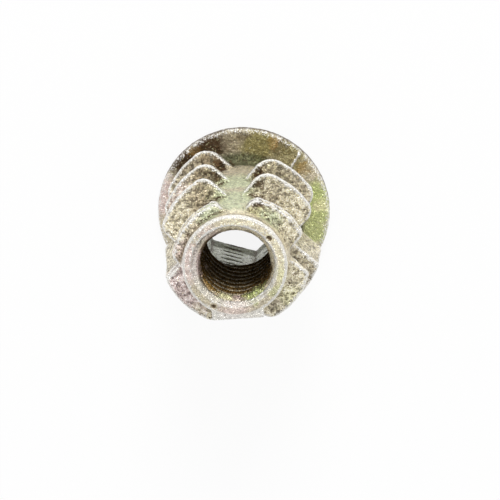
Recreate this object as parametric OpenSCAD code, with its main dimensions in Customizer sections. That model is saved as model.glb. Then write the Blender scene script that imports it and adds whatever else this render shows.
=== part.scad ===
// Flanged threaded insert, die cast in one piece. Its outer face stands on z = 0 and its axis is Z.
// A coarse right-hand thread holds it in wood. A key in the hex socket drives it in, and a machine
// screw then goes in through the socket. The fine thread in the bore is left as its minor cylinder.

/* [Flange] */
// Diameter of the flange
flange_d = 17.6; // [17.2:0.1:24]
// Thickness of the flange
flange_t = 1.25; // [0.9:0.05:2]
// Rounding of both edges of the flange's rim
flange_edge_r = 0.4; // [0.1:0.05:0.42]
// Radius of the cove between the flange and the core
cove_r = 1; // [0.3:0.1:1.2]

/* [Core] */
// Overall length, from the flange's outer face to the pilot end
length = 20; // [16:0.5:30]
// Diameter of the core where it leaves the flange
core_d = 10.6; // [10.4:0.1:12]
// Diameter of the core at the pilot end
pilot_d = 10.2; // [10:0.1:10.4]
// Rounding of the outer edge of the pilot end
pilot_edge_r = 0.35; // [0.1:0.05:0.5]

/* [Bore] */
// Minor diameter of the machine thread
bore_d = 6.75; // [6:0.05:7]
// Diameter of the countersink at the pilot end
countersink_d = 8.2; // [7.2:0.1:9]
// Included angle of the countersink
countersink_angle = 90; // [60:5:120]

/* [Hex socket] */
// Width of the hex socket across its flats
hex_af = 8; // [7.2:0.1:8.2]
// Depth of the hex socket from the flange's outer face
hex_depth = 8.4; // [5:0.1:11]
// Turn of the socket's corners about the axis, in degrees
hex_turn = 41; // [0:1:59]

/* [Outer thread] */
// Diameter over the crests at the flange
crest_d = 16.5; // [13.5:0.1:17]
// Pitch of the single-start thread
pitch = 5.2; // [4:0.1:7]
// Gap between the flange and the first crest
first_gap = 1.65; // [1.4:0.05:3]
// Shortest distance from a crest to the pilot end
last_gap = 1.4; // [1:0.1:4]
// Draft of the crests, as an angle on the radius
crest_draft = 1.7; // [0:0.1:3]
// Length of the lead-in cone over the crests
lead_l = 6.8; // [3:0.1:10]
// Diameter of the lead-in cone at the pilot end
lead_end_d = 11.5; // [11:0.1:13]

/* [Thread lobes] */
// Number of gaps that break the thread in one turn
gaps = 4; // [3:1:5]
// Width of the thread between two gaps
lobe_w = 6.8; // [3.5:0.1:7]
// Width of the thread between two gaps at the pilot end, to which the lead-in narrows it
lead_lobe_w = 5.8; // [3:0.1:6.8]
// Rounding of a lobe's outer corners at the flange, seen along the axis
lobe_corner_r = 1.9; // [0.5:0.1:2.2]
// Rounding of a lobe's outer corners at the pilot end
lead_corner_r = 1; // [0.5:0.1:2.2]
// Rounding of the corners beside the parting plane, on the second mould half's lobes
parting_corner_r = 0.5; // [0.4:0.1:2]
// How far the second half's first lobe runs on past the others, beside the parting plane
run_on = 0.6; // [0:0.1:0.8]
// Mismatch of the moulds: offset of the thread against the core, along +Y
thread_offset = 0.2; // [0:0.05:0.25]
// Mismatch of the moulds: how far the lobes at -X stand out along -X
side_offset = 0.15; // [0:0.05:0.15]
// Turn of the first lobe about the axis, in degrees
lobe_turn = -45; // [-180:1:180]
// Width of the crest along the axis
crest_w = 0.34; // [0.2:0.02:0.6]
// Height of the chamfers on both sides of the crest
crest_chamfer = 0.14; // [0.05:0.01:0.25]
// Reach of the flank that faces the flange, from the crest to its foot
rear_foot = 0.95; // [0.8:0.05:1.2]
// Reach of that flank at its knee, where its steep upper part ends
rear_knee = 0.5; // [0.3:0.05:0.7]
// Height of the knee over the core
knee_h = 1; // [0.5:0.1:1.5]
// Reach of the steep flank that faces the pilot end, from the crest to its foot
front_foot = 0.45; // [0.4:0.05:1.2]
// Height and reach of the fillet at the foot of that flank
foot_fillet = 0.15; // [0.1:0.05:0.2]

/* [Hidden] */

FN = 128;
ARC_STEPS = 12;
OVERLAP = 0.1;
ROUND_OFF = 0.001;

flange_r = flange_d / 2;
core_r = core_d / 2;
pilot_r = pilot_d / 2;
bore_r = bore_d / 2;
hex_corner_r = hex_af / 2 / cos(30);
countersink_h = (countersink_d - bore_d) / 2 / tan(countersink_angle / 2);

first_crest_z = flange_t + first_gap;
last_crest_z = length - last_gap;
lobe_step = pitch / gaps;
lobe_count = 1 + floor((last_crest_z - first_crest_z) / lobe_step + ROUND_OFF);

// The foot of each lobe is buried to this share of the thinnest wall, over the socket's corners
ROOT_SHARE = 0.4;
root_r = hex_corner_r + ROOT_SHARE * (min(core_r, pilot_r) - hex_corner_r);

// Steps from the middle of a lobe to its rounded corner, and round the corner to its end wall
FLAT_STEPS = 2;
CORNER_STEPS = 3;

// The most of a lobe's height that its corners' rounding and its rear knee may take
CORNER_SHARE = 0.6;
KNEE_SHARE = 0.6;

// Height of the crest in the middle of the lobe k, and the lobe's turn about the axis
function lobe_z(k) = first_crest_z + lobe_step * k;
function turn_of(k) = lobe_turn + 360 / gaps * k;

// Points of a quarter circle about [x, y], from angle a to angle b
function arc(x, y, r, a, b, n = ARC_STEPS) =
    [for (i = [0 : n]) [x + r * cos(a + (b - a) * i / n), y + r * sin(a + (b - a) * i / n)]];

// Radius of the drafted core at height z
function core_at(z) = core_r + (pilot_r - core_r) * z / length;

// Radius over the crests at height z: a drafted cylinder that runs into the lead-in cone
function drafted_crest(z) = crest_d / 2 - (z - flange_t) * tan(crest_draft);
function lead_in(z) =
    let (
        start = length - lead_l,
        start_r = drafted_crest(start)
    ) start_r + (lead_end_d / 2 - start_r) * (z - start) / lead_l;
function crest_at(z) = z < length - lead_l ? drafted_crest(z) : lead_in(z);

// Half of the thread's width between two gaps at height z
function half_at(z) =
    lobe_w / 2 + (lead_lobe_w - lobe_w) / 2 * max(0, z - length + lead_l) / lead_l;

// Rounding of a lobe's corners at height z
function corner_at(z) = lobe_corner_r + (lead_corner_r - lobe_corner_r) * z / length;

// One end of the lobe k, as [half width, corner rounding]: side is -1 for the end that the thread
// reaches first and 1 for the other. The parting plane is Y = 0 and the second mould half is at +Y.
// The rounding is held to a share of the lobe's height over the core where the lobe is low.
function lobe_end(k, side) =
    let (
        z = lobe_z(k),
        turn = turn_of(k),
        second = sin(turn) > 0,
        beside = abs(sin(turn + side * 180 / gaps)) < 0.5,
        half = half_at(z) + (k == 1 && second && beside ? run_on : 0),
        corner_r = second && beside ? parting_corner_r : corner_at(z)
    ) [half, min(corner_r, CORNER_SHARE * (crest_at(z) - core_at(z)))];

// Crest radius at offset b across a lobe, rounded towards the lobe's end
function rounded_crest(r, b, end) =
    let (
        corner_r = end[1],
        flat_half = end[0] - corner_r,
        over = max(0, abs(b) - flat_half),
        drop = corner_r - sqrt(max(0, corner_r^2 - over^2)),
        top = over > 0 ? sqrt(r^2 - flat_half^2) - drop : sqrt(r^2 - b^2)
    ) norm([top, b]);

// Cross-section of the thread, from its rear foot over the crest to its front foot, as
// [radius, distance along the axis from the crest's middle]. The flanks keep their place where the
// crest is cut down to cut_r, so a low crest is a wide one. They run on into the core to root_r.
function thread_section(cut_r, foot_r) =
    let (
        half_crest = crest_w / 2,
        full_h = crest_d / 2 - core_r,
        rear_slope = (rear_knee - half_crest) / (full_h - knee_h),
        front_knee = front_foot - foot_fillet,
        front_slope = (front_knee - half_crest) / (full_h - foot_fillet),
        rear_half = half_crest + rear_slope * (crest_d / 2 - cut_r),
        front_half = half_crest + front_slope * (crest_d / 2 - cut_r),
        shoulder_r = cut_r - crest_chamfer,
        depth = foot_r - root_r
    ) [
        [root_r, -rear_foot - depth * (rear_foot - rear_knee) / knee_h],
        [foot_r + min(knee_h, KNEE_SHARE * (shoulder_r - foot_r)), -rear_knee],
        [shoulder_r, -rear_half],
        [cut_r, crest_chamfer - rear_half],
        [cut_r, front_half - crest_chamfer],
        [shoulder_r, front_half],
        [foot_r + foot_fillet, front_knee],
        [root_r, front_foot + depth]
    ];

// Offsets from the middle of a lobe to one end at which its cross-section is drawn
function end_offsets(end) =
    let (flat_half = end[0] - end[1]) concat(
        [for (i = [1 : FLAT_STEPS]) flat_half * i / FLAT_STEPS],
        [for (i = [1 : CORNER_STEPS]) flat_half + end[1] * sin(90 * i / CORNER_STEPS)]
    );

// One cross-section of a lobe: a plane at offset b beside the lobe's own X axis, parallel to it.
// The thread climbs with the angle of each point about the axis.
function lobe_ring(z, b, end) =
    let (
        crest_z = z + pitch * asin(b / crest_at(z)) / 360,
        crest_r = rounded_crest(crest_at(crest_z), b, end)
    ) [
        for (p = thread_section(crest_r, core_at(crest_z)))
            [sqrt(p[0]^2 - b^2), b, z + pitch * asin(b / p[0]) / 360 + p[1]]
    ];

// Two triangles for the side from point i of one ring to the next ring of m points
function side(i, j, m) = [[i, j, j + m], [i, j + m, i + m]];

// The lobe k of the outer thread, its middle on the X axis.
// Its end walls are parallel, as the sliding core that casts it draws straight out.
module thread_lobe(k) {
    z = lobe_z(k);
    first_end = lobe_end(k, -1);
    last_end = lobe_end(k, 1);
    first_offsets = end_offsets(first_end);
    rings = concat(
        [for (i = [len(first_offsets) - 1 : -1 : 0]) lobe_ring(z, -first_offsets[i], first_end)],
        [lobe_ring(z, 0, last_end)],
        [for (b = end_offsets(last_end)) lobe_ring(z, b, last_end)]
    );
    m = len(rings[0]);
    last = (len(rings) - 1) * m;
    sides = [
        for (k = [0 : len(rings) - 2])
            for (i = [0 : m - 1])
                for (t = side(k * m + i, k * m + (i + 1) % m, m)) t
    ];
    start_cap = [for (i = [1 : m - 2]) [0, i + 1, i]];
    end_cap = [for (i = [1 : m - 2]) [last, last + i, last + i + 1]];
    polyhedron(
        points = [for (ring = rings) for (p = ring) p],
        faces = concat(sides, start_cap, end_cap)
    );
}

module outer_thread() {
    for (k = [0 : lobe_count - 1])
        translate([cos(turn_of(k)) < 0 ? -side_offset : 0, thread_offset, 0])
            rotate([0, 0, turn_of(k)])
                thread_lobe(k);
}

// Flange, cove and drafted core, turned about the axis
module flange_and_core() {
    cove_top = flange_t + cove_r;
    cove_x = core_at(cove_top) + cove_r;
    rotate_extrude($fn = FN)
        polygon(concat(
            [[0, 0]],
            arc(flange_r - flange_edge_r, flange_edge_r, flange_edge_r, -90, 0),
            arc(flange_r - flange_edge_r, flange_t - flange_edge_r, flange_edge_r, 0, 90),
            arc(cove_x, cove_top, cove_r, -90, -180),
            arc(pilot_r - pilot_edge_r, length - pilot_edge_r, pilot_edge_r, 0, 90),
            [[0, length]]
        ));
}

// Bore and its countersink, open at both ends
module bore() {
    translate([0, 0, -OVERLAP])
        cylinder(r = bore_r, h = length + 2 * OVERLAP, $fn = FN);
    grow = OVERLAP * tan(countersink_angle / 2);
    translate([0, 0, length - countersink_h])
        cylinder(r1 = bore_r, r2 = countersink_d / 2 + grow, h = countersink_h + OVERLAP, $fn = FN);
}

module hex_socket() {
    rotate([0, 0, hex_turn])
        translate([0, 0, -OVERLAP])
            cylinder(r = hex_corner_r, h = hex_depth + OVERLAP, $fn = 6);
}

module insert() {
    color("#b9b49a")
        union() {
            difference() {
                flange_and_core();
                bore();
                hex_socket();
            }
            outer_thread();
        }
}

insert();
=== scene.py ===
"""Flanged threaded insert, die cast in zinc alloy and passivated yellow, on a pale studio floor.

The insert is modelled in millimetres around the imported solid. Its turned body, its broken wood thread, its
tapped bore, its socket and its marks are joined and cut as one casting. The casting is remeshed, which
softens its edges, then lifted by its grain and brought to metres.
"""
import math
from types import SimpleNamespace

import bpy
import numpy as np
from mathutils import Matrix, Vector


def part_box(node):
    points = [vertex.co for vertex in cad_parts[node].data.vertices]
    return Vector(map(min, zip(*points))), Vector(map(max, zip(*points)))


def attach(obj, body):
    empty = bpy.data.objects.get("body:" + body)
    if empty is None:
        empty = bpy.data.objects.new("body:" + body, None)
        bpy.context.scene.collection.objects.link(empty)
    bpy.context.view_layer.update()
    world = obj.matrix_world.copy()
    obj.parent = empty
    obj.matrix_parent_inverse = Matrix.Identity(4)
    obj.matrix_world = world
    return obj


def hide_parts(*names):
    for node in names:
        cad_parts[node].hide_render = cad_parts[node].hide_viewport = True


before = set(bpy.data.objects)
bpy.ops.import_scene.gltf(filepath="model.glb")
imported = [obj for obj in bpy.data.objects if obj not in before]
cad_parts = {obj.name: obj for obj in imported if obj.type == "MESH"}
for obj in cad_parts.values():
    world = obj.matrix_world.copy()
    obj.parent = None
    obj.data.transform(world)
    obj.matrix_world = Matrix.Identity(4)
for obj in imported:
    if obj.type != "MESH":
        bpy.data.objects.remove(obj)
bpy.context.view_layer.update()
CAD_LOW, CAD_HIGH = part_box("insert")

bl_info = {
    "name": "Threaded Insert",
    "version": (1, 0, 0),
    "blender": (4, 5, 0),
    "location": "View3D > Sidebar > Threaded Insert",
    "description": "Models a flanged threaded insert and the studio around it",
    "category": "Add Mesh",
}

MM = 0.001

# Steps of a full turn of the turned forms and the threads, and of a small round and a lobe's half crest
ROUND_STEPS = 192
THREAD_STEPS = 160
CORNER_STEPS = 8
CREST_STEPS = 12

# In millimetres: how far a cutter runs past what it cuts, and how close two points merge
OVERLAP = 0.5
MERGE = 1e-5

# The most triangles that the finished casting keeps
TRIANGLES = 190000


# ---------------------------------------------------------------- properties

def length(name, description, default):
    """A length property, shown in the scene's unit."""
    return bpy.props.FloatProperty(
        name=name, description=description, default=default, min=0, unit="LENGTH", precision=5)


def colour(name, description, default):
    """A colour property, as linear red, green and blue."""
    return bpy.props.FloatVectorProperty(
        name=name, description=description, default=default, size=3, min=0, max=1, subtype="COLOR")


def angle(name, description, default):
    """An angle property, whose default is given in degrees."""
    return bpy.props.FloatProperty(
        name=name, description=description, default=math.radians(default), subtype="ANGLE")


def share(name, description, default):
    """A property that runs from none to all."""
    return bpy.props.FloatProperty(
        name=name, description=description, default=default, min=0, max=1, subtype="FACTOR")


class InsertSizes(bpy.types.PropertyGroup):
    """Sizes of the casting."""
    flange_d: length("Flange diameter", "Diameter of the flange", CAD_HIGH.x - CAD_LOW.x)
    flange_t: length("Flange thickness", "Thickness of the flange", 0.00125)
    flange_edge: length("Flange edge", "Rounding of the edges of the flange's rim", 0.0004)
    cove: length("Cove", "Radius of the cove between the flange and the core", 0.001)
    height: length("Height", "Overall length along the axis", CAD_HIGH.z - CAD_LOW.z)
    core_d: length("Core diameter", "Diameter of the core at the flange", 0.0106)
    pilot_d: length("Pilot diameter", "Diameter of the core at the pilot end", 0.0102)
    pilot_edge: length("Pilot edge", "Rounding of the pilot end's outer edge", 0.00035)
    bore_d: length("Bore diameter", "Minor diameter of the machine thread", 0.00675)
    tap_d: length("Tap diameter", "Diameter that the tap cut, a little into the flats", 0.0084)
    tap_pitch: length("Tap pitch", "Pitch of the machine thread", 0.00125)
    countersink_d: length("Countersink diameter", "Diameter of the countersink at the pilot end", 0.0082)
    hex_af: length("Hex across flats", "Width of the hex socket across its flats", 0.008)
    hex_depth: length("Hex depth", "Depth of the hex socket", 0.0084)
    hex_turn: angle("Hex turn", "Turn of the socket's corners about the axis", 41)


class ThreadSizes(bpy.types.PropertyGroup):
    """Sizes of the broken wood thread."""
    crest_d: length("Crest diameter", "Diameter over the crests at the flange", 0.0165)
    crest_w: length("Crest width", "Width of the crest along the axis", 0.00026)
    pitch: length("Pitch", "Pitch of the wood thread", 0.0052)
    first_crest: length("First crest", "Height of the first lobe's crest", 0.0029)
    rear_foot: length("Rear foot", "Reach of the flank that faces the flange", 0.00095)
    rear_knee: length("Rear knee", "Reach of that flank at its knee", 0.0005)
    knee_h: length("Knee height", "Height of the rear knee over the core", 0.001)
    front_foot: length("Front foot", "Reach of the flank that faces the pilot end", 0.00045)
    foot_fillet: length("Foot fillet", "Fillet at the foot of the front flank", 0.00015)
    end_wall_t: length("End wall", "Thickness of the walls between lobes beside the parting plane", 0.0005)
    lead_l: length("Lead-in length", "Length of the lead-in cone over the crests", 0.0068)
    lead_end_d: length("Lead-in end", "Diameter of the lead-in cone at the pilot end", 0.0115)
    draft: angle("Draft", "Draft of the crests", 1.7)
    lobe_turn: angle("Lobe turn", "Turn of the first lobe about the axis", -45)
    lobes: bpy.props.IntProperty(
        name="Lobes", description="Number of lobes along the thread", default=13, min=1)


class FinishSettings(bpy.types.PropertyGroup):
    """Surface of the casting."""
    voxel: length("Voxel", "Size of the cells in which the casting is remeshed", 0.00009)
    grain: length("Grain", "Height of the cast grain", 0.00003)
    zinc: colour("Zinc", "Passivated zinc between the tinted places", (0.72, 0.64, 0.48))
    cream: colour("Cream", "Palest passivation", (1.0, 0.90, 0.66))
    straw: colour("Straw", "Straw-yellow passivation", (1.0, 0.96, 0.58))
    sage: colour("Sage", "Grey-green passivation of the core between the lobes", (0.68, 0.73, 0.50))
    leaf: colour("Leaf", "Yellow-green passivation of the flange and the pilot end", (0.66, 0.74, 0.31))
    rose: colour("Rose", "Rose passivation", (1.0, 0.80, 0.77))
    tan: colour("Tan", "Pale brown passivation", (0.60, 0.53, 0.38))
    olive: colour("Olive", "Olive passivation of the flange", (0.36, 0.31, 0.13))
    brown: colour("Brown", "Brown passivation of the rough flanks", (0.36, 0.29, 0.19))
    amber: colour("Amber", "Orange-brown streaks of the flange", (0.55, 0.33, 0.09))
    # Umber is a real deep brown on the flange's face and in the grain's pits, and painted shade under the
    # crests beside the top gap, in the hollows, along the rim and in the tap's scores
    umber: colour("Umber", "Deep brown passivation", (0.10, 0.06, 0.03))
    # Moss is the cove's dark green, with painted shade of the crease between the flange and the core in it
    moss: colour("Moss", "Dark green passivation in the cove", (0.10, 0.11, 0.05))
    # Gold is the bore's golden brown, darkened as painted shade inside the bore
    gold: colour("Gold", "Golden brown of the tapped bore", (0.12, 0.07, 0.02))
    # Socket is painted light: its pale tint lights the hex socket as though light came in through its open
    # end
    socket: colour("Socket", "Pale grey-green of the hex socket", (0.97, 1.0, 0.86))
    # Worn and highlight is rubbed metal on the crests, the edges and the lips, and also their painted
    # highlight
    worn_and_highlight: colour("Worn", "Bare metal on the crests and edges", (1.0, 0.98, 0.93))


class StageSettings(bpy.types.PropertyGroup):
    """Camera, floor and light."""
    azimuth: angle("Azimuth", "Angle of the camera about the axis", -13.06)
    elevation: angle("Elevation", "Height of the camera, as an angle", 72.88)
    roll: angle("Roll", "Turn of the camera about its line of sight", -171.33)
    distance: length("Distance", "Distance from the camera to its aim", 0.29079)
    focal: bpy.props.FloatProperty(
        name="Focal length", description="Focal length on the sensor", default=209.88, unit="CAMERA")
    floor_size: length("Floor", "Width of the floor", 4)
    floor_colour: colour("Floor colour", "Colour of the floor", (0.9, 0.9, 0.9))
    floor_seen: share("Floor seen", "How much of the floor glows white to the camera", 0.9)
    floor_mirrored: share("Floor mirrored", "How much of the floor glows white in the metal", 0.8)
    world_light: share("World light", "Strength of the world's light", 0.65)
    world_mirrored: share("World mirrored", "Strength of the world in the metal", 0.4)


# ---------------------------------------------------------------- modelling

def in_mm(group):
    """A property group's values by name, its lengths in millimetres and its colours with an alpha."""
    values = {}
    for name in type(group).__annotations__:
        rule, value = group.bl_rna.properties[name], getattr(group, name)
        if rule.unit == "LENGTH":
            value = value / MM
        elif rule.subtype == "COLOR":
            value = (*value, 1)
        values[name] = value
    return SimpleNamespace(**values)


def select_only(piece):
    """Leaves one object selected and active."""
    bpy.ops.object.select_all(action="DESELECT")
    piece.select_set(True)
    bpy.context.view_layer.objects.active = piece


def named(name):
    """Names the new active object and its data."""
    piece = bpy.context.active_object
    piece.name = piece.data.name = name
    return piece


def close_up():
    """Merges doubles, turns the faces outwards, leaves edit mode and applies the object's place."""
    bpy.ops.mesh.select_all(action="SELECT")
    bpy.ops.mesh.remove_doubles(threshold=MERGE)
    bpy.ops.mesh.normals_make_consistent(inside=False)
    bpy.ops.object.mode_set(mode="OBJECT")
    bpy.ops.object.transform_apply(location=True, rotation=True, scale=True)


def turned(name, outline, corners=ROUND_STEPS, turn=0.0):
    """A closed round or cornered solid, drawn up as a disc through its outline's (radius, height) points."""
    radius, height = outline[0]
    bpy.ops.mesh.primitive_circle_add(
        vertices=corners, radius=radius, fill_type="NGON", location=(0, 0, height), rotation=(0, 0, turn))
    piece = named(name)
    bpy.ops.object.mode_set(mode="EDIT")
    bpy.ops.mesh.select_all(action="SELECT")
    for next_radius, next_height in outline[1:]:
        growth = next_radius / radius
        bpy.ops.mesh.extrude_region_move(TRANSFORM_OT_translate={"value": (0, 0, next_height - height)})
        bpy.ops.transform.resize(value=(growth, growth, 1))
        radius, height = next_radius, next_height
    close_up()
    return piece


def lofted(name, rings):
    """A closed solid through rings of as many points each, drawn up from the first to the last."""
    bpy.ops.mesh.primitive_circle_add(vertices=len(rings[0]), radius=1, fill_type="NGON")
    piece = named(name)
    for vertex, point in zip(piece.data.vertices, rings[0]):
        vertex.co = point
    for ring, next_ring in zip(rings, rings[1:]):
        bpy.ops.object.mode_set(mode="EDIT")
        if ring is rings[0]:
            bpy.ops.mesh.select_all(action="SELECT")
        bpy.ops.mesh.extrude_region_move()
        bpy.ops.object.mode_set(mode="OBJECT")
        for vertex in piece.data.vertices:
            if vertex.select:
                nearest = min(range(len(ring)), key=lambda i: (ring[i] - vertex.co).length_squared)
                vertex.co = next_ring[nearest]
    bpy.ops.object.mode_set(mode="EDIT")
    close_up()
    return piece


def helix(name, section, pitch, start, turns):
    """A closed ridge: a section of (radius, height) corners, screwed about the axis from a start angle."""
    bpy.ops.mesh.primitive_circle_add(vertices=len(section), radius=1, fill_type="NGON")
    piece = named(name)
    for vertex, (radius, height) in zip(piece.data.vertices, section):
        vertex.co = (radius * math.cos(start), radius * math.sin(start), height)
    screw = piece.modifiers.new("Screw", "SCREW")
    screw.axis = "Z"
    screw.angle = math.tau * turns
    screw.screw_offset = pitch * turns
    screw.steps = screw.render_steps = round(THREAD_STEPS * turns)
    bpy.ops.object.modifier_apply(modifier="Screw")
    bpy.ops.object.mode_set(mode="EDIT")
    bpy.ops.mesh.select_all(action="SELECT")
    bpy.ops.mesh.remove_doubles(threshold=MERGE)
    bpy.ops.mesh.select_all(action="DESELECT")
    bpy.ops.mesh.select_mode(type="EDGE")
    bpy.ops.mesh.select_non_manifold()
    bpy.ops.mesh.edge_face_add()
    close_up()
    return piece


def combine(piece, tool, operation):
    """Cuts, joins or intersects the piece with a tool, and removes the tool."""
    select_only(piece)
    boolean = piece.modifiers.new(operation.title(), "BOOLEAN")
    boolean.operation = operation
    boolean.object = tool
    boolean.solver = "MANIFOLD"
    bpy.ops.object.modifier_apply(modifier=boolean.name)
    select_only(tool)
    bpy.ops.object.delete()
    if not piece.data.polygons:
        raise RuntimeError(f"nothing is left of {piece.name}")


# ---------------------------------------------------------------- the turned body

def quarter(x, z, radius, first, last):
    """Points of a quarter circle in the outline's plane, between two angles in degrees."""
    points = []
    for i in range(CORNER_STEPS + 1):
        turn = math.radians(first + (last - first) * i / CORNER_STEPS)
        points.append((x + radius * math.cos(turn), z + radius * math.sin(turn)))
    return points


def body(s):
    """Flange, cove, drafted core and pilot end, turned about the axis."""
    flange_r, core_r, pilot_r = s.flange_d / 2, s.core_d / 2, s.pilot_d / 2
    cove_top = s.flange_t + s.cove
    cove_x = core_r + (pilot_r - core_r) * cove_top / s.height + s.cove
    return turned("body", [
        *quarter(flange_r - s.flange_edge, s.flange_edge, s.flange_edge, -90, 0),
        *quarter(flange_r - s.flange_edge, s.flange_t - s.flange_edge, s.flange_edge, 0, 90),
        *quarter(cove_x, cove_top, s.cove, -90, -180),
        *quarter(pilot_r - s.pilot_edge, s.height - s.pilot_edge, s.pilot_edge, 0, 90),
    ])


# ---------------------------------------------------------------- the wood thread

# In millimetres: how far outside the bore the lobes start in the core, how far their ridge runs past the
# crests before it is trimmed, how far outside the bore the end walls start, how far they stop below the
# crests, and how far they run past the lobes' ends before they are trimmed
RIDGE_ROOT = 1.4
RIDGE_SPARE = 0.6
WALL_ROOT = 0.2
WALL_SINK = 0.1
WALL_SPARE = 1

# Turn by which the ridge runs on before the first lobe's middle and after the last one's, in degrees
RIDGE_MARGIN = 40

# The four sliding cores of the mould, in millimetres: the side, counted from the first lobe; the shift of
# its lobes; the walls between its lobes, as (end, lower and upper height, half width at both); and the
# lobes' plan at some heights, as (height, growth of the crest radius, half width and corner rounding of the
# first end, half width and corner rounding of the last end).
SLIDES = (
    {
        "side": 0,
        "shift": (0, 0.22),
        "walls": (),
        "levels": (
            (1.25, 0, 3.4, 1.9, 3.4, 1.8),
            (13.2, 0, 3.4, 1.3, 3.4, 1.0),
            (20, 0, 3.4, 1.0, 3.4, 0.6),
        ),
    },
    {
        "side": 1,
        "shift": (0.05, 0.22),
        "walls": ((-1, 3.7, 9.2, 4.2, 3.6), (-1, 9.2, 12.5, 3.6, 3.4)),
        "levels": (
            (1.25, 0.3, 4.1, 0.5, 3.4, 2.0),
            (5.5, 0.3, 4.1, 0.5, 3.4, 2.0),
            (9, 0.1, 3.55, 0.4, 3.4, 2.0),
            (13.2, 0.08, 3.4, 0.4, 3.4, 2.0),
            (20, 0, 3.2, 0.4, 2.8, 2.0),
        ),
    },
    {
        "side": 2,
        "shift": (-0.2, 0.25),
        "walls": ((1, 5.2, 11.4, 3.4, 3.4),),
        "levels": (
            (1.25, 0.05, 3.4, 2.0, 3.4, 0.4),
            (13.2, 0.05, 3.4, 2.0, 3.4, 0.4),
            (20, 0, 2.6, 2.0, 3.2, 0.4),
        ),
    },
    {
        "side": 3,
        "shift": (-0.2, 0.25),
        "walls": (),
        "levels": (
            (1.25, 0, 3.4, 1.9, 3.4, 2.1),
            (13.2, 0, 3.3, 1.3, 3.4, 1.7),
            (20, 0, 3.0, 1.0, 2.8, 1.0),
        ),
    },
)


def crest_at(s, t, height):
    """Radius over the crests at a height: a drafted cylinder, then the lead-in cone."""
    shoulder = s.height - t.lead_l
    drafted_r = t.crest_d / 2 - (min(height, shoulder) - s.flange_t) * math.tan(t.draft)
    if height <= shoulder:
        return drafted_r
    return drafted_r + (t.lead_end_d / 2 - drafted_r) * (height - shoulder) / (s.height - shoulder)


def end_outline(half, corner, crest_r, side):
    """One side of a lobe's plan, from the axis along its end wall and round its corner to its crest."""
    flat_half = half - corner
    reach = math.sqrt(crest_r ** 2 - flat_half ** 2) - corner
    points = [(0, half)]
    for i in range(CORNER_STEPS + 1):
        turn = math.pi / 2 * (1 - i / CORNER_STEPS)
        points.append((reach + corner * math.cos(turn), flat_half + corner * math.sin(turn)))
    last = math.asin(flat_half / crest_r)
    for i in range(1, CREST_STEPS):
        turn = last * (1 - i / CREST_STEPS)
        points.append((crest_r * math.cos(turn), crest_r * math.sin(turn)))
    return [(x, side * y) for x, y in points]


def on_side(t, plan, x, y, z):
    """A place in a lobe's own frame, whose X axis is the middle of the lobe, brought to the insert."""
    spin = Matrix.Rotation(t.lobe_turn + math.tau / len(SLIDES) * plan["side"], 3, "Z")
    return spin @ Vector((x, y, z)) + Vector((*plan["shift"], 0))


def slide(s, t, plan):
    """The column that one sliding core of the mould leaves to the lobes on its side."""
    rings = []
    for height, growth, first_half, first_corner, last_half, last_corner in plan["levels"]:
        crest_r = crest_at(s, t, height) + growth
        depth = crest_r - s.core_d / 2
        outline = end_outline(first_half, min(first_corner, depth), crest_r, -1)
        outline += end_outline(last_half, min(last_corner, depth), crest_r, 1)[::-1]
        rings.append([on_side(t, plan, x, y, height) for x, y in outline])
    return lofted("slide", rings)


def end_wall(s, t, plan, side, low, high, low_half, high_half):
    """A wall that joins the lobes' ends on one side, between two heights."""
    root = s.bore_d / 2 + WALL_ROOT
    rings = []
    for height, half in ((low, low_half), (high, high_half)):
        inner, outer = half - t.end_wall_t, half + WALL_SPARE
        reach = math.sqrt((crest_at(s, t, height) - WALL_SINK) ** 2 - inner ** 2)
        corners = [(root, inner), (reach, inner), (reach, outer), (root, outer)]
        rings.append([on_side(t, plan, x, side * y, height) for x, y in corners])
    return lofted("end_wall", rings)


def ridge_section(s, t):
    """The ridge's (radius, height) corners about the middle of its crest."""
    root, core_r, tip_r = s.bore_d / 2 + RIDGE_ROOT, s.core_d / 2, t.crest_d / 2 + RIDGE_SPARE
    return [
        (root, -t.rear_foot - (core_r - root) * (t.rear_foot - t.rear_knee) / t.knee_h),
        (core_r + t.knee_h, -t.rear_knee),
        (tip_r, -t.crest_w / 2),
        (tip_r, t.crest_w / 2),
        (core_r + t.foot_fillet, t.front_foot - t.foot_fillet),
        (core_r, t.front_foot),
        (root, t.front_foot + core_r - root),
    ]


def wood_thread(s, t, plan):
    """The lobes of the coarse thread that one sliding core casts."""
    margin = math.radians(RIDGE_MARGIN)
    turns = (t.lobes - 1) / len(SLIDES) + 2 * margin / math.tau
    lift = t.first_crest - t.pitch * margin / math.tau
    section = [(radius, height + lift) for radius, height in ridge_section(s, t)]
    ridge = helix("wood_thread", section, t.pitch, t.lobe_turn - margin, turns)
    ridge.location = (*plan["shift"], 0)
    bpy.ops.object.transform_apply(location=True)
    for wall in plan["walls"]:
        combine(ridge, end_wall(s, t, plan, *wall), "UNION")
    combine(ridge, slide(s, t, plan), "INTERSECT")
    return ridge


# ---------------------------------------------------------------- the bore and the marks

# How far in millimetres the tap's teeth start inside the bore's wall, how many half tips of a tooth make up
# the pitch, and how far a tooth's flanks lean, which is half of the machine thread's 60 degrees
TOOTH_ROOT = 0.3
HALF_TIPS = 10
FLANK_ANGLE = math.pi / 6

# The flash's size and place in millimetres: across, out from the axis and down from the pilot end
FLASH_SIZE = (5.0, 0.95, 1.3)
FLASH_PLACE = (0.1, 4.9, 0.75)

# The fin's radius, length and middle in millimetres, and its turn about the axis
FIN_RADIUS = 0.15
FIN_LENGTH = 1.7
FIN_PLACE = (-5.72, -5.15, 1.27)
FIN_TURN = -0.625

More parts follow.
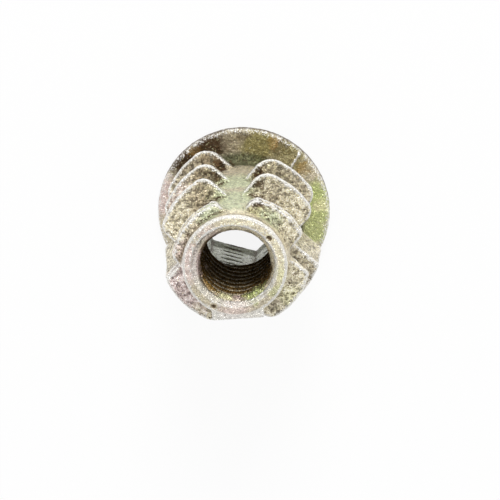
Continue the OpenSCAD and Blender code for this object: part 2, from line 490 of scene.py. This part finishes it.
# Pits and dents that the casting and the handling left: the centre and the radius in millimetres
PITS = (
    ((3.66, -2.39, 20.04), 0.17), ((-3.53, -2.54, 20.22), 0.45), ((2.36, 3.90, 20.18), 0.38),
    ((-4.47, 1.37, 20.1), 0.2), ((-6.53, 1.78, 7.06), 0.18), ((-7.03, 2.26, 8.36), 0.14),
    ((-7.52, 2.76, 9.58), 0.18), ((-5.88, 1.92, 16.65), 0.18), ((-5.30, 4.25, 16.3), 0.17),
    ((-6.72, -2.88, 12.0), 0.15), ((-7.11, -2.89, 11.95), 0.12), ((3.4, 6.75, 15.1), 0.3),
    ((7.4, 2.62, 11.4), 0.3),
)


def machine_thread(s):
    """The tap's way through the bore, as a cutter that runs past both ends."""
    root, tip_r, pitch = s.bore_d / 2 - TOOTH_ROOT, s.tap_d / 2, s.tap_pitch
    tip_half = pitch / HALF_TIPS
    root_half = tip_half + (tip_r - root) * math.tan(FLANK_ANGLE)
    section = [(root, -root_half), (tip_r, -tip_half), (tip_r, tip_half), (root, root_half)]
    turns = (s.height + 2 * pitch) / pitch
    return helix("tap", [(radius, height - pitch) for radius, height in section], pitch, 0, turns)


def bore(s):
    """The tapping bore, its countersink, the hex socket and the machine thread, as one cutter."""
    bore_r, sink_r = s.bore_d / 2, s.countersink_d / 2
    sink_foot = s.height - (sink_r - bore_r)
    cutter = turned("bore", [
        (bore_r, -OVERLAP), (bore_r, sink_foot), (sink_r + OVERLAP, s.height + OVERLAP)])
    corner_r = s.hex_af / 2 / math.cos(math.pi / 6)
    socket = turned("socket", [(corner_r, -OVERLAP), (corner_r, s.hex_depth)],
                    corners=6, turn=s.hex_turn - math.pi / 2)
    combine(cutter, socket, "UNION")
    combine(cutter, machine_thread(s), "UNION")
    return cutter


def flash(s):
    """The flat flash that the mould's last gap left across the pilot end."""
    x, y, depth = FLASH_PLACE
    bpy.ops.mesh.primitive_cube_add(size=1, location=(x, y, s.height - depth))
    piece = named("flash")
    bpy.ops.object.mode_set(mode="EDIT")
    bpy.ops.transform.resize(value=FLASH_SIZE, center_override=piece.location)
    close_up()
    return piece


def mark(piece):
    """Cuts the pits and dents, and lays the fin that runs across the flange's face."""
    for centre, radius in PITS:
        bpy.ops.mesh.primitive_ico_sphere_add(subdivisions=2, radius=radius, location=centre)
        combine(piece, named("pit"), "DIFFERENCE")
    bpy.ops.mesh.primitive_cylinder_add(
        vertices=12, radius=FIN_RADIUS, depth=FIN_LENGTH, location=FIN_PLACE,
        rotation=(math.pi / 2, 0, FIN_TURN))
    combine(piece, named("fin"), "UNION")


# ---------------------------------------------------------------- the casting's surface

# How far and how often the casting's edges are smoothed
SOFTENING = 0.5
SOFTENING_ROUNDS = 2

# The mould's roughness: the name, the size in millimetres and the height, as a multiple of the grain's
MOULD_TEXTURES = (("Waves", 1.6, 2.0), ("Grain", 0.45, 2.6))

# The convexity of a flat place, what a bend of one radian a millimetre adds to it, and how often it is
# spread; high convexity paints rubbed metal with a highlight, and low convexity paints grime with shade
FLAT_CONVEXITY = 0.5
CONVEXITY_SCALE = 0.12
SPREAD_ROUNDS = 2


def weld(piece, f):
    """Remeshes the casting in small cells and smooths it a little, which softens its edges."""
    select_only(piece)
    remesh = piece.modifiers.new("Cast", "REMESH")
    remesh.mode = "VOXEL"
    remesh.voxel_size = f.voxel
    smooth = piece.modifiers.new("Soften", "SMOOTH")
    smooth.factor = SOFTENING
    smooth.iterations = SOFTENING_ROUNDS
    for modifier in (remesh, smooth):
        bpy.ops.object.modifier_apply(modifier=modifier.name)


def roughen(piece, f):
    """Lifts the surface by the waves and the grain of the mould."""
    select_only(piece)
    for name, size, growth in MOULD_TEXTURES:
        texture = bpy.data.textures.new(name, "CLOUDS")
        texture.noise_scale = size
        texture.noise_depth = 2
        displace = piece.modifiers.new(name, "DISPLACE")
        displace.texture = texture
        displace.texture_coords = "LOCAL"
        displace.mid_level = 0.5
        displace.strength = f.grain * growth
        bpy.ops.object.modifier_apply(modifier=name)


def thin_out(piece):
    """Thins the mesh to the most triangles that it may keep."""
    select_only(piece)
    triangles = sum(len(face.vertices) - 2 for face in piece.data.polygons)
    if triangles > TRIANGLES:
        decimate = piece.modifiers.new("Thin", "DECIMATE")
        decimate.ratio = TRIANGLES / triangles
        bpy.ops.object.modifier_apply(modifier="Thin")


def mark_convexity(piece):
    """Writes how convex the surface is to the attribute by which the material paints rubbed metal with a
    highlight on the edges, and grime with shade in the hollows.
    """
    mesh = piece.data
    count = len(mesh.vertices)
    places, normals = np.empty((count, 3)), np.empty((count, 3))
    ends = np.empty((len(mesh.edges), 2), dtype=int)
    mesh.vertices.foreach_get("co", places.ravel())
    mesh.vertices.foreach_get("normal", normals.ravel())
    mesh.edges.foreach_get("vertices", ends.ravel())
    first, second = ends[:, 0], ends[:, 1]
    edges_at = np.maximum(np.bincount(ends.ravel(), minlength=count), 1)

    def spread(first_values, second_values):
        """The mean at each vertex of the values that its edges bring to it."""
        total = np.bincount(first, first_values, count) + np.bincount(second, second_values, count)
        return total / edges_at

    along = places[second] - places[first]
    span = np.linalg.norm(along, axis=1)
    span[span == 0] = 1
    bend = ((normals[second] - normals[first]) * along).sum(axis=1) / span ** 2
    bend = spread(bend, bend)
    for _ in range(SPREAD_ROUNDS):
        bend = (bend + spread(bend[second], bend[first])) / 2
    convexity = mesh.attributes.new("convexity", "FLOAT", "POINT")
    convexity.data.foreach_set("value", np.clip(FLAT_CONVEXITY + bend * CONVEXITY_SCALE, 0, 1))


def to_metres(piece):
    """Brings the finished casting from millimetres to metres, with its place in its mesh."""
    select_only(piece)
    bpy.ops.object.mode_set(mode="EDIT")
    bpy.ops.mesh.select_all(action="SELECT")
    bpy.ops.mesh.normals_make_consistent(inside=False)
    bpy.ops.transform.resize(value=(MM, MM, MM), center_override=(0, 0, 0))
    bpy.ops.object.mode_set(mode="OBJECT")
    bpy.ops.object.shade_smooth()


# ---------------------------------------------------------------- materials

class NodeTree:
    """Adds nodes to the tree of a material or a world, and links them."""

    def __init__(self, owner):
        owner.use_nodes = True
        self.tree = owner.node_tree
        self.tree.nodes.clear()

    def add(self, kind, inputs=None, **values):
        """A new node with its values set; an input is a number, a colour or another node's output."""
        node = self.tree.nodes.new(kind)
        for key, value in values.items():
            setattr(node, key, value)
        for key, value in (inputs or {}).items():
            if isinstance(value, bpy.types.NodeSocket):
                self.tree.links.new(value, node.inputs[key])
            else:
                node.inputs[key].default_value = value
        return node

    def maths(self, operation, *inputs):
        """The result of a sum on numbers."""
        return self.add("ShaderNodeMath", dict(enumerate(inputs)), operation=operation).outputs[0]

    def vectors(self, operation, *inputs, output="Vector"):
        """The result of a sum on vectors."""
        node = self.add("ShaderNodeVectorMath", dict(enumerate(inputs)), operation=operation)
        return node.outputs[output]

    def noise(self, place, scale, detail, roughness, output="Fac"):
        """A noise of so many waves a metre."""
        node = self.add("ShaderNodeTexNoise", {
            "Vector": place, "Scale": scale, "Detail": detail, "Roughness": roughness})
        return node.outputs[output]

    def ramp(self, value, low, high, to_low=0.0, to_high=1.0):
        """A smooth step from one result to another, while the value goes from its low end to its high end."""
        node = self.add("ShaderNodeMapRange", {
            "Value": value, "From Min": low, "From Max": high, "To Min": to_low, "To Max": to_high},
            interpolation_type="SMOOTHSTEP")
        return node.outputs["Result"]

    def blend(self, amount, under, over, mode="MIX"):
        """One colour laid over another by an amount."""
        node = self.add("ShaderNodeMixRGB", {
            "Fac": amount, "Color1": under, "Color2": over}, blend_type=mode)
        return node.outputs["Color"]


# The zones of the finish: the distance from the axis and the height over which each fades in, in millimetres
ZONES = {
    # the socket zone takes the socket's painted light
    "socket": ((4.75, 4.6), (8.45, 8.3)),
    "bore": ((3.8, 3.55), (8.3, 8.45)),
    # the cove zone takes painted shade
    "cove": ((6.7, 6.0), (2.6, 2.0)),
    "flange": ((5.6, 6.2), (1.6, 1.4)),
    # the rim zone takes painted shade: a dark outline along the flange's lower rim
    "rim": ((8.6, 8.8), (1.1, 0.8)),
    "collar": ((4.8, 5.0), (19.0, 19.4)),
}
PILOT_HEIGHTS = (19.4, 19.7)
INNER_LIP = (4.3, 4.1)
OUTER_LIP = (4.75, 4.9)
FLANKS = (5.2, 5.8)

# How much painted highlight the inner lip takes beside the outer one, how much of the grain the core shows,
# and how much of it the flange hides
INNER_LIP_HIGHLIGHT = 0.6
CORE_GRAIN = 0.35
FLANGE_CALM = 0.75

# How far past the flats, in millimetres, the tap's scores begin and are full
SCORE_DEPTHS = (0.04, 0.09)

# The noises, as waves a metre, detail and roughness
NOISES = {
    "tear": (900.0, 3.0, 0.6),
    "coarse": (2300.0, 3.0, 0.65),
    "fine": (6000.0, 2.0, 0.7),
    "points": (4200.0, 2.0, 0.7),
    "gloss": (3800.0, 2.0, 0.6),
}

# The smooth steps of the finish: the value at each one's start and end, and its result there
RAMPS = {
    "coarse mottle": (0.38, 0.62, 0.46, 1.6),
    "fine mottle": (0.38, 0.62, 0.7, 1.3),
    "dark pits": (0.41, 0.34, 0.0, 0.85),
    "pale points": (0.62, 0.69, 0.0, 0.7),
    "ragged edge": (0.3, 0.7, -0.09, 0.09),
    # rubbed metal with a painted highlight on convex places
    "rubbed and lit metal": (0.58, 0.68, 0.0, 1.0),
    # grime with painted shade in concave places
    "dirt_and_shade": (0.44, 0.32, 0.0, 0.95),
    "gloss": (0.35, 0.65, 0.22, 0.45),
}

# Tints of whole zones, below the patches and above them, as (tint, zone, amount). The socket's pale tint is
# painted light; the bore's gold, the cove's moss and the rim's umber are darkened as painted shade.
TINTS_BELOW = (("gold", "bore", 1.0), ("tan", "pilot", 0.35), ("socket", "socket", 1.0))
TINTS_ABOVE = (("moss", "cove", 0.9), ("umber", "rim", 0.9), ("brown", "collar", 0.9))

# The part of a patch's radius in which it is full, and how far the noise tears its edge, in metres
PATCH_CORE = 0.4
PATCH_TEAR = 0.003

# Painted highlight of the lips, what the socket's convexity falls short by, which deepens the painted shade
# there and dims the highlight, and the painted shade in the tap's scores
LIP_HIGHLIGHT = 0.8
SOCKET_CALM = 0.05
SCORE_SHADE = 0.95

# The shader's values: metallic, what the bore adds to it, specular level, and the bump's height in metres
# with the part of the fine noise in it
METALLIC = 0.6
BORE_METALLIC = 0.35
SPECULAR = 0.15
BUMP = 0.0002
FINE_BUMP = 0.6

# Where the passivation has a tint of its own, and where patches paint shade and highlights: the tint, the
# centre and the radius of a soft patch in millimetres, and how much of the tint there is in its middle.
PATCHES = (
    ("tan", (0.1, -7.8, 1.2), 3.4, 0.9),
    ("brown", (0.4, -7.4, 1.2), 1.8, 0.6),
    ("umber", (3.0, -7.4, 1.2), 2.6, 1.0),
    ("umber", (5.4, -5.8, 1.2), 2.6, 1.0),
    ("rose", (8.0, -2.2, 1.2), 2.8, 0.8),
    ("olive", (-2.2, -7.0, 1.2), 2.6, 1.0),
    ("umber", (-4.5, -6.7, 1.2), 1.3, 0.8),
    ("umber", (-0.6, -8.2, 1.2), 0.9, 0.5),
    ("olive", (-5.3, -5.3, 1.2), 2.6, 0.8),
    ("leaf", (-7.7, -0.6, 1.2), 2.8, 1.0),
    ("amber", (-3.7, -7.3, 1.2), 0.9, 0.5),
    ("amber", (-6.3, -4.6, 1.2), 1.1, 0.5),
    ("amber", (4.6, -6.9, 1.2), 0.9, 0.4),
    ("straw", (-8.0, -0.2, 1.2), 1.2, 0.8),
    ("leaf", (-7.2, 2.3, 1.2), 2.2, 0.8),
    ("sage", (0.0, -5.2, 8.0), 3.4, 0.9),
    ("sage", (0.0, -5.2, 14.0), 3.4, 0.9),
    # Painted shade and dirt: the umber patches near x = ±2 mm, y = −6 mm, at the lobes' ends beside the top
    # gap, darken the flanks under the crests; the brown ones beside them mix the flanks' brown tint with that
    # shade
    ("brown", (2.6, -6.2, 3.0), 2.0, 0.9),
    ("umber", (1.6, -6.0, 2.9), 1.3, 1.0),
    ("brown", (3.0, -6.2, 8.1), 2.3, 0.8),
    ("umber", (1.8, -5.9, 8.2), 1.1, 0.9),
    ("brown", (3.0, -5.6, 13.3), 2.4, 0.6),
    ("rose", (6.2, -4.2, 8.4), 2.6, 0.6),
    ("cream", (5.8, -3.2, 13.6), 2.8, 0.6),
    ("tan", (-3.4, -5.9, 7.2), 2.8, 0.9),
    ("umber", (-2.1, -6.1, 7.5), 1.2, 1.0),
    ("umber", (-2.1, -5.8, 12.8), 1.0, 0.9),
    ("cream", (-6.3, -3.4, 12.2), 2.8, 1.0),
    ("cream", (-5.5, -3.0, 17.2), 2.4, 1.0),
    ("sage", (0.0, -5.1, 17.5), 2.2, 0.9),
    ("umber", (-2.1, -5.9, 18.1), 1.2, 1.0),
    ("umber", (-3.1, -5.4, 17.9), 0.9, 0.9),
    ("umber", (1.2, -5.6, 2.8), 0.8, 1.0),
    ("straw", (-2.6, -4.6, 17.6), 1.0, 1.0),
    ("sage", (-3.9, -3.8, 17.6), 1.6, 0.9),
    ("sage", (2.2, -4.7, 18.4), 1.6, 0.9),
    ("amber", (-3.2, -5.6, 11.4), 0.9, 0.4),
    ("umber", (-4.4, -4.9, 16.2), 1.0, 0.7),
    ("rose", (4.7, -0.6, 19.8), 3.0, 0.7),
    ("rose", (6.2, 3.5, 14.6), 4.0, 0.9),
    ("cream", (-3.6, -1.6, 19.8), 3.2, 0.9),
    ("cream", (-0.6, -4.5, 19.8), 2.6, 1.0),
    ("rose", (2.4, -3.8, 19.8), 1.4, 0.5),
    ("rose", (0.4, 4.4, 19.8), 2.0, 0.6),
    ("leaf", (-4.0, 3.0, 19.6), 1.2, 0.4),
    ("straw", (-4.6, 1.2, 19.8), 1.6, 0.7),
    ("cream", (-5.9, 2.6, 16.4), 2.6, 0.9),
    ("straw", (-5.2, 5.0, 15.6), 2.2, 0.7),
    # Painted highlight: the amber, straw and leaf patches on the bore's lower lip paint the golden reflection
    # of the light there
    ("amber", (2.6, 2.0, 18.6), 1.2, 0.6),
    ("straw", (1.2, 3.2, 18.9), 1.1, 0.8),
    ("leaf", (-1.6, 3.1, 18.6), 1.6, 0.9),
)


def finish_zones(nodes, place):
    """How much each place belongs to the zones of the finish, and how much of the grain it shows."""
    x, y, height = nodes.add("ShaderNodeSeparateXYZ", {0: place}).outputs
    flat = nodes.add("ShaderNodeCombineXYZ", {0: x, 1: y}).outputs[0]
    radius = nodes.vectors("LENGTH", flat, output="Value")

    def fade(value, ends, to_low=0.0, to_high=1.0):
        """A smooth step between two ends in millimetres."""
        return nodes.ramp(value, ends[0] * MM, ends[1] * MM, to_low, to_high)

    zones = {}
    for name, (radii, heights) in ZONES.items():
        zones[name] = nodes.maths("MULTIPLY", fade(radius, radii), fade(height, heights))
    zones["pilot"] = fade(height, PILOT_HEIGHTS)
    zones["collar"] = nodes.maths("MULTIPLY", zones["collar"], nodes.maths("SUBTRACT", 1.0, zones["pilot"]))
    zones["cast"] = nodes.maths("SUBTRACT", 1.0, zones["bore"])
    # the lips take the painted highlight of the pilot end's rounded edges
    lips = nodes.maths("MAXIMUM", fade(radius, INNER_LIP, 0.0, INNER_LIP_HIGHLIGHT), fade(radius, OUTER_LIP))
    zones["lips"] = nodes.maths("MULTIPLY", lips, nodes.maths("SUBTRACT", zones["pilot"], zones["bore"]))
    calm = nodes.maths("MULTIPLY", zones["flange"], FLANGE_CALM)
    grain = nodes.maths("MULTIPLY", fade(radius, FLANKS, CORE_GRAIN), zones["cast"])
    zones["grain"] = nodes.maths("MULTIPLY", grain, nodes.maths("SUBTRACT", 1.0, calm))
    return zones


def tap_scores(nodes, place, s):
    """How deep each place lies in the middle of the socket's flats, where the tap scored them."""
    deep = 0.0
    # Three flats face half way between two corners, and the other three are opposite them
    for step in (1, 3, 5):
        turn = s.hex_turn + math.tau * step / 12
        across = nodes.vectors("DOT_PRODUCT", place, (math.cos(turn), math.sin(turn), 0), output="Value")
        deep = nodes.maths("MAXIMUM", deep, nodes.maths("ABSOLUTE", across))
    return nodes.ramp(deep, *((s.hex_af / 2 + depth) * MM for depth in SCORE_DEPTHS))


def passivation(nodes, place, zones, f):
    """The tint of the passivation, with painted light and shade: whole zones, and soft patches whose edges a
    coarse noise tears.
    """
    noise = nodes.noise(place, *NOISES["tear"], output="Color")
    tear = nodes.vectors("SUBTRACT", noise, (0.5, 0.5, 0.5))
    torn = nodes.vectors("MULTIPLY_ADD", tear, (PATCH_TEAR, PATCH_TEAR, PATCH_TEAR), place)
    tint = f.zinc
    for name, zone, amount in TINTS_BELOW:
        tint = nodes.blend(nodes.maths("MULTIPLY", zones[zone], amount), tint, getattr(f, name))
    for name, centre, reach, amount in PATCHES:
        away = nodes.vectors("DISTANCE", torn, [value * MM for value in centre], output="Value")
        patch = nodes.ramp(away, reach * MM, reach * MM * PATCH_CORE, 0.0, amount)
        tint = nodes.blend(patch, tint, getattr(f, name))
    for name, zone, amount in TINTS_ABOVE:
        tint = nodes.blend(nodes.maths("MULTIPLY", zones[zone], amount), tint, getattr(f, name))
    return tint


def grained(nodes, tint, zones, noises, f):
    """The tint under the cast grain: a mottle, dark pits and pale points."""
    mottle = nodes.maths("MULTIPLY", nodes.ramp(noises["coarse"], *RAMPS["coarse mottle"]),
                         nodes.ramp(noises["fine"], *RAMPS["fine mottle"]))
    shade = nodes.add("ShaderNodeCombineXYZ", {0: mottle, 1: mottle, 2: mottle}).outputs[0]
    tint = nodes.blend(zones["grain"], tint, nodes.blend(1.0, tint, shade, "MULTIPLY"))
    pits = nodes.ramp(noises["points"], *RAMPS["dark pits"])
    tint = nodes.blend(nodes.maths("MULTIPLY", pits, zones["grain"]), tint, f.umber)
    points = nodes.ramp(noises["points"], *RAMPS["pale points"])
    return nodes.blend(nodes.maths("MULTIPLY", points, zones["cast"]), tint, f.straw)


def worn_lit_and_shaded(nodes, tint, zones, noises, f):
    """The tint with rubbed metal and a painted highlight on the crests, the edges and the lips, and grime
    with painted shade in the hollows.
    """
    convexity = nodes.add("ShaderNodeAttribute", attribute_name="convexity").outputs["Fac"]
    convexity = nodes.maths("ADD", convexity, nodes.ramp(noises["fine"], *RAMPS["ragged edge"]))
    # lowering the socket's convexity deepens its painted shade and dims its painted highlight
    convexity = nodes.maths("SUBTRACT", convexity, nodes.maths("MULTIPLY", zones["socket"], SOCKET_CALM))
    # painted highlight on the pilot's lips
    lips = nodes.maths("MULTIPLY", zones["lips"], LIP_HIGHLIGHT)
    rubbed_and_lit = nodes.maths("MAXIMUM", nodes.ramp(convexity, *RAMPS["rubbed and lit metal"]), lips)
    tint = nodes.blend(nodes.maths("MULTIPLY", rubbed_and_lit, zones["cast"]), tint, f.worn_and_highlight)
    # grime and painted shade in the hollows
    return nodes.blend(nodes.ramp(convexity, *RAMPS["dirt_and_shade"]), tint, f.umber)


def zinc_material(s, f):
    """Die-cast zinc with a thin yellow passivation: tinted patches with painted shade and highlights, cast
    grain, rubbed edges with a painted highlight, and grime with painted shade.
    """
    material = bpy.data.materials.new("passivated_zinc")
    nodes = NodeTree(material)
    place = nodes.add("ShaderNodeTexCoord").outputs["Object"]
    zones = finish_zones(nodes, place)
    noises = {name: nodes.noise(place, *NOISES[name]) for name in ("coarse", "fine", "points", "gloss")}

    tint = passivation(nodes, place, zones, f)
    tint = grained(nodes, tint, zones, noises, f)
    tint = worn_lit_and_shaded(nodes, tint, zones, noises, f)
    # painted shade in the tap's scores across the socket's flats
    scores = nodes.maths("MULTIPLY", zones["socket"], tap_scores(nodes, place, s))
    tint = nodes.blend(nodes.maths("MULTIPLY", scores, SCORE_SHADE), tint, f.umber)

    height = nodes.maths("ADD", noises["coarse"], nodes.maths("MULTIPLY", noises["fine"], FINE_BUMP))
    bump = nodes.add("ShaderNodeBump", {"Height": height, "Strength": 1.0, "Distance": BUMP})
    shader = nodes.add("ShaderNodeBsdfPrincipled", {
        "Base Color": tint,
        "Metallic": nodes.maths("ADD", METALLIC, nodes.maths("MULTIPLY", zones["bore"], BORE_METALLIC)),
        "Roughness": nodes.ramp(noises["gloss"], *RAMPS["gloss"]),
        "Specular IOR Level": SPECULAR,
        "Normal": bump.outputs["Normal"],
    })
    nodes.add("ShaderNodeOutputMaterial", {"Surface": shader.outputs["BSDF"]})
    return material


def floor_material(stage):
    """A white floor that keeps its white to the camera and in the metal, and still takes a shadow."""
    material = bpy.data.materials.new("floor")
    nodes = NodeTree(material)
    ray = nodes.add("ShaderNodeLightPath").outputs
    seen = nodes.maths("MULTIPLY", ray["Is Camera Ray"], stage.floor_seen)
    mirrored = nodes.maths("MULTIPLY", ray["Is Glossy Ray"], stage.floor_mirrored)
    diffuse = nodes.add("ShaderNodeBsdfDiffuse", {"Color": (*stage.floor_colour, 1)})
    white = nodes.add("ShaderNodeEmission", {"Color": (1, 1, 1, 1), "Strength": 1.0})
    mix = nodes.add("ShaderNodeMixShader", {
        0: nodes.maths("MAXIMUM", seen, mirrored), 1: diffuse.outputs["BSDF"], 2: white.outputs["Emission"]})
    nodes.add("ShaderNodeOutputMaterial", {"Surface": mix.outputs["Shader"]})
    return material


def studio_world(stage):
    """A white world, full to the camera, soft on the floor and softer in the metal."""
    world = bpy.data.worlds.new("studio")
    nodes = NodeTree(world)
    ray = nodes.add("ShaderNodeLightPath").outputs
    soft = nodes.ramp(ray["Is Glossy Ray"], 0.0, 1.0, stage.world_light, stage.world_mirrored)
    light = nodes.maths("MAXIMUM", soft, ray["Is Camera Ray"])
    background = nodes.add("ShaderNodeBackground", {"Color": (1, 1, 1, 1), "Strength": light})
    nodes.add("ShaderNodeOutputWorld", {"Surface": background.outputs["Background"]})
    return world


# ---------------------------------------------------------------- the stage

# Where the camera and the lamps look, in metres
CAMERA_AIM = (-0.000925, 0.001437, 0.01)
LAMP_AIM = (0, 0, 0.01)

# The camera's sensor in millimetres, and the nearest and farthest that it sees in metres
SENSOR = 36
CLIP = (0.01, 20)

# The round lamps: the name, azimuth and elevation in degrees, distance and width in metres, power in watts
LAMPS = (
    ("key_lamp", -8, 32, 0.5, 0.2, 1.35),
    ("fill_lamp", 170, 65, 0.6, 0.4, 0.55),
)


def aim(thing, azimuth, elevation, roll, distance, target):
    """Puts a camera or a lamp at a distance from its target, from that azimuth and elevation."""
    turn = (Matrix.Rotation(azimuth, 4, "Z") @ Matrix.Rotation(math.pi / 2 - elevation, 4, "X")
            @ Matrix.Rotation(roll, 4, "Z"))
    back = turn @ Vector((0, 0, 1))
    thing.matrix_world = Matrix.Translation(Vector(target) + back * distance) @ turn


def lay_floor(stage):
    """The wide floor that the insert stands on."""
    bpy.ops.mesh.primitive_plane_add(size=stage.floor_size)
    floor = named("floor")
    floor.data.materials.append(floor_material(stage))


def hang_lamp(name, azimuth, elevation, distance, width, power):
    """One soft round lamp."""
    bpy.ops.object.light_add(type="AREA")
    lamp = named(name)
    lamp.data.shape = "DISK"
    lamp.data.size = width
    lamp.data.energy = power
    aim(lamp, math.radians(azimuth), math.radians(elevation), 0, distance, LAMP_AIM)


def set_camera(stage):
    """The camera, at the stage's angles and distance."""
    bpy.ops.object.camera_add()
    camera = named("camera")
    camera.data.lens = stage.focal
    camera.data.sensor_width = SENSOR
    camera.data.clip_start, camera.data.clip_end = CLIP
    aim(camera, stage.azimuth, stage.elevation, stage.roll, stage.distance, CAMERA_AIM)
    bpy.context.scene.camera = camera


# ---------------------------------------------------------------- operators

class MESH_OT_threaded_insert(bpy.types.Operator):
    """Model the threaded insert as one casting and give it its finish"""
    bl_idname = "mesh.threaded_insert"
    bl_label = "Threaded Insert"

    def execute(self, context):
        scene = context.scene
        s, t, f = in_mm(scene.insert_sizes), in_mm(scene.thread_sizes), in_mm(scene.insert_finish)
        insert = body(s)
        for plan in SLIDES:
            combine(insert, wood_thread(s, t, plan), "UNION")
        combine(insert, flash(s), "UNION")
        combine(insert, bore(s), "DIFFERENCE")
        mark(insert)
        weld(insert, f)
        roughen(insert, f)
        thin_out(insert)
        mark_convexity(insert)
        to_metres(insert)
        insert.name = insert.data.name = "threaded_insert"
        insert.data.materials.clear()
        insert.data.materials.append(zinc_material(s, f))
        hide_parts("insert")
        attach(insert, "root")
        return {"FINISHED"}


class SCENE_OT_insert_stage(bpy.types.Operator):
    """Set up the floor, the soft lamps, the world and the camera"""
    bl_idname = "scene.insert_stage"
    bl_label = "Insert Stage"

    def execute(self, context):
        stage = context.scene.insert_stage
        lay_floor(stage)
        for lamp in LAMPS:
            hang_lamp(*lamp)
        context.scene.world = studio_world(stage)
        set_camera(stage)
        context.scene.view_settings.view_transform = "Standard"
        return {"FINISHED"}


# ---------------------------------------------------------------- add-on

class VIEW3D_PT_threaded_insert(bpy.types.Panel):
    """Lists the piece, the stage and their settings"""
    bl_idname = "VIEW3D_PT_threaded_insert"
    bl_label = "Threaded Insert"
    bl_space_type = "VIEW_3D"
    bl_region_type = "UI"
    bl_category = "Threaded Insert"

    def draw(self, context):
        layout = self.layout
        for operator in OPERATORS:
            layout.operator(operator.bl_idname)
        for name, group in GROUPS.items():
            box = layout.box()
            for setting in group.__annotations__:
                box.prop(getattr(context.scene, name), setting)


GROUPS = {
    "insert_sizes": InsertSizes,
    "thread_sizes": ThreadSizes,
    "insert_finish": FinishSettings,
    "insert_stage": StageSettings,
}
OPERATORS = (MESH_OT_threaded_insert, SCENE_OT_insert_stage)
CLASSES = (*GROUPS.values(), *OPERATORS, VIEW3D_PT_threaded_insert)


def register():
    """Registers the classes and gives every scene the four groups of settings."""
    for cls in CLASSES:
        bpy.utils.register_class(cls)
    for name, group in GROUPS.items():
        setattr(bpy.types.Scene, name, bpy.props.PointerProperty(type=group))


def unregister():
    """Takes the groups and the classes away again."""
    for name in GROUPS:
        delattr(bpy.types.Scene, name)
    for cls in reversed(CLASSES):
        bpy.utils.unregister_class(cls)


def main():
    """Registers the add-on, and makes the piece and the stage."""
    register()
    bpy.ops.mesh.threaded_insert()
    bpy.ops.scene.insert_stage()


if __name__ == "__main__":
    main()
